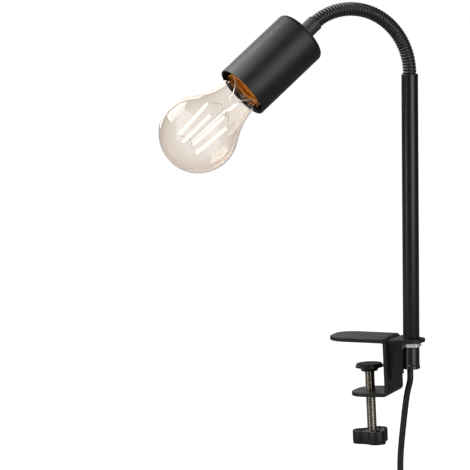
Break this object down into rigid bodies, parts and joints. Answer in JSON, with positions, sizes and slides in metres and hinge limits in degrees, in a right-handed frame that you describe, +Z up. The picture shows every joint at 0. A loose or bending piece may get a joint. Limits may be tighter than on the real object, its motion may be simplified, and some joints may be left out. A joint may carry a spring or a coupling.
{
  "type": "clip on reading lamp",
  "caption": "Desk-clamp reading lamp: bent-steel screw clamp, straight pole, gooseneck, cylindrical cup with a clear filament bulb, hanging mains lead.",
  "frame": {"origin": "where the clamp screw's axis meets the underside of the upper jaw, the face that rests on the desk board", "axes": "+Z up, along the pole; +X from the clamp screw towards the pole"},
  "size_m": [0.1675, 0.176, 0.5646],
  "materials": {
    "black_coat": "matt black powder coat",
    "black_hose": "satin black wound steel hose",
    "steel": "plain steel",
    "zinc": "bright zinc plate",
    "black_plastic": "fine satin black moulding",
    "wire": "insulated wire",
    "rubber": "matt rubber",
    "holder_plastic": "hard black moulding",
    "brass": "bright brass",
    "solder": "solder",
    "cap_metal": "copper-coloured rolled cap",
    "cap_glass": "black insulator glass",
    "glass": "clear glass",
    "filament": "phosphor-coated filament strip",
    "cord": "satin black flexible sheath",
    "tie": "woven hook-and-loop band"
  },
  "bodies": {
    "stand": {"clamp_bracket": "black_coat", "pole_bracket": "black_coat", "pole_tube": "black_coat", "pole_foot_bush": "steel", "neck_bush": "steel", "pole_nipple": "zinc", "lock_washer": "zinc", "pole_nut": "zinc", "cord_grip": "black_plastic", "cord_grip_screw": "black_plastic", "pole_wires": "wire", "lamp_cord": "cord", "cord_lead": "cord", "cord_coil": "cord", "cord_tie": "tie", "cord_tail": "cord", "switch_base": "black_plastic", "switch_cover": "black_plastic", "switch_screws": "steel", "switch_contacts": "brass", "plug_body": "black_plastic", "plug_pins": "brass"},
    "foot": {"pressure_foot": "zinc", "foot_pad": "rubber"},
    "screw": {"clamp_screw": "zinc", "clamp_knob": "black_plastic"},
    "neck_0": {"neck_root": "black_hose"},
    "neck_1": {"neck_link_1": "black_hose"},
    "neck_2": {"neck_link_2": "black_hose"},
    "neck_3": {"neck_link_3": "black_hose"},
    "neck_4": {"neck_link_4": "black_hose"},
    "neck_5": {"neck_link_5": "black_hose"},
    "neck_6": {"neck_link_6": "black_hose"},
    "neck_7": {"neck_link_7": "black_hose"},
    "neck_8": {"neck_link_8": "black_hose"},
    "head": {"neck_tip": "black_hose", "neck_ferrule": "black_coat", "head_nipple": "zinc", "socket_cup": "black_coat", "cup_nut": "zinc", "holder_base": "holder_plastic", "holder_body": "holder_plastic", "holder_shell": "brass", "centre_contact": "brass", "terminal_screws": "brass"},
    "bulb_end": {"bulb_tip_contact": "solder"},
    "bulb": {"bulb_cap": "cap_metal", "bulb_insulator": "cap_glass", "bulb_glass": "glass", "bulb_stem": "glass", "bulb_filaments": "filament", "bulb_lead_wires": "steel"},
    "rocker": {"switch_rocker": "black_plastic"}
  },
  "joints": [
    {"name": "foot_travel", "type": "slide", "parent": "stand", "child": "foot", "axis": [-0.0384, 0, 0.9993], "range_m": [-0.014, 0.0185]},
    {"name": "screw_turn", "type": "hinge", "parent": "foot", "child": "screw", "pos_m": [0, 0, 0], "axis": [-0.0384, 0, 0.9993], "range_deg": [-4032, 5328]},
    {"name": "neck_swivel", "type": "hinge", "parent": "stand", "child": "neck_0", "pos_m": [0.0355, 0, 0.2092], "axis": [0, 0, 1], "range_deg": [-90, 90]},
    {"name": "neck_bend_1", "type": "hinge", "parent": "neck_0", "child": "neck_1", "pos_m": [0.0355, 0, 0.21546], "axis": [0.7071, -0.7071, 0], "range_deg": [-13.7, 2]},
    {"name": "neck_bend_2", "type": "hinge", "parent": "neck_1", "child": "neck_2", "pos_m": [0.03339, -0.00211, 0.22761], "axis": [0.7071, -0.7071, 0], "range_deg": [-13.7, 2]},
    {"name": "neck_bend_3", "type": "hinge", "parent": "neck_2", "child": "neck_3", "pos_m": [0.0293, -0.0062, 0.23871], "axis": [0.7071, -0.7071, 0], "range_deg": [-13.7, 2]},
    {"name": "neck_bend_4", "type": "hinge", "parent": "neck_3", "child": "neck_4", "pos_m": [0.02345, -0.01205, 0.24811], "axis": [0.7071, -0.7071, 0], "range_deg": [-13.7, 2]},
    {"name": "neck_bend_5", "type": "hinge", "parent": "neck_4", "child": "neck_5", "pos_m": [0.01619, -0.01931, 0.25527], "axis": [0.7071, -0.7071, 0], "range_deg": [-13.7, 2]},
    {"name": "neck_bend_6", "type": "hinge", "parent": "neck_5", "child": "neck_6", "pos_m": [0.00794, -0.02756, 0.25978], "axis": [0.7071, -0.7071, 0], "range_deg": [-13.7, 2]},
    {"name": "neck_bend_7", "type": "hinge", "parent": "neck_6", "child": "neck_7", "pos_m": [-0.00084, -0.03634, 0.26138], "axis": [0.7071, -0.7071, 0], "range_deg": [-13.7, 2]},
    {"name": "neck_bend_8", "type": "hinge", "parent": "neck_7", "child": "neck_8", "pos_m": [-0.00964, -0.04514, 0.25997], "axis": [0.7071, -0.7071, 0], "range_deg": [-13.7, 2]},
    {"name": "neck_bend_9", "type": "hinge", "parent": "neck_8", "child": "head", "pos_m": [-0.01794, -0.05344, 0.25564], "axis": [0.7071, -0.7071, 0], "range_deg": [-18.87, 2.75]},
    {"name": "bulb_travel", "type": "slide", "parent": "head", "child": "bulb_end", "axis": [-0.548, -0.548, -0.632], "range_m": [0, 0.01089]},
    {"name": "bulb_turn", "type": "hinge", "parent": "bulb_end", "child": "bulb", "pos_m": [-0.02137, -0.05687, 0.25169], "axis": [-0.548, -0.548, -0.632], "range_deg": [0, 1080]},
    {"name": "switch_press", "type": "hinge", "parent": "stand", "child": "rocker", "pos_m": [0.0262, -0.0063, -0.143], "axis": [1, 0, 0], "range_deg": [-18, 0]}
  ],
  "couplings": [
    {"joint": "screw_turn", "follows": "foot_travel", "rad_per_m": 5026.5},
    {"joint": "bulb_turn", "follows": "bulb_travel", "rad_per_m": 1731.4},
    {"joint": "neck_bend_2", "follows": "neck_bend_1", "ratio": 1},
    {"joint": "neck_bend_3", "follows": "neck_bend_1", "ratio": 1},
    {"joint": "neck_bend_4", "follows": "neck_bend_1", "ratio": 1},
    {"joint": "neck_bend_5", "follows": "neck_bend_1", "ratio": 1},
    {"joint": "neck_bend_6", "follows": "neck_bend_1", "ratio": 1},
    {"joint": "neck_bend_7", "follows": "neck_bend_1", "ratio": 1},
    {"joint": "neck_bend_8", "follows": "neck_bend_1", "ratio": 1},
    {"joint": "neck_bend_9", "follows": "neck_bend_1", "ratio": 1.3774}
  ]
}
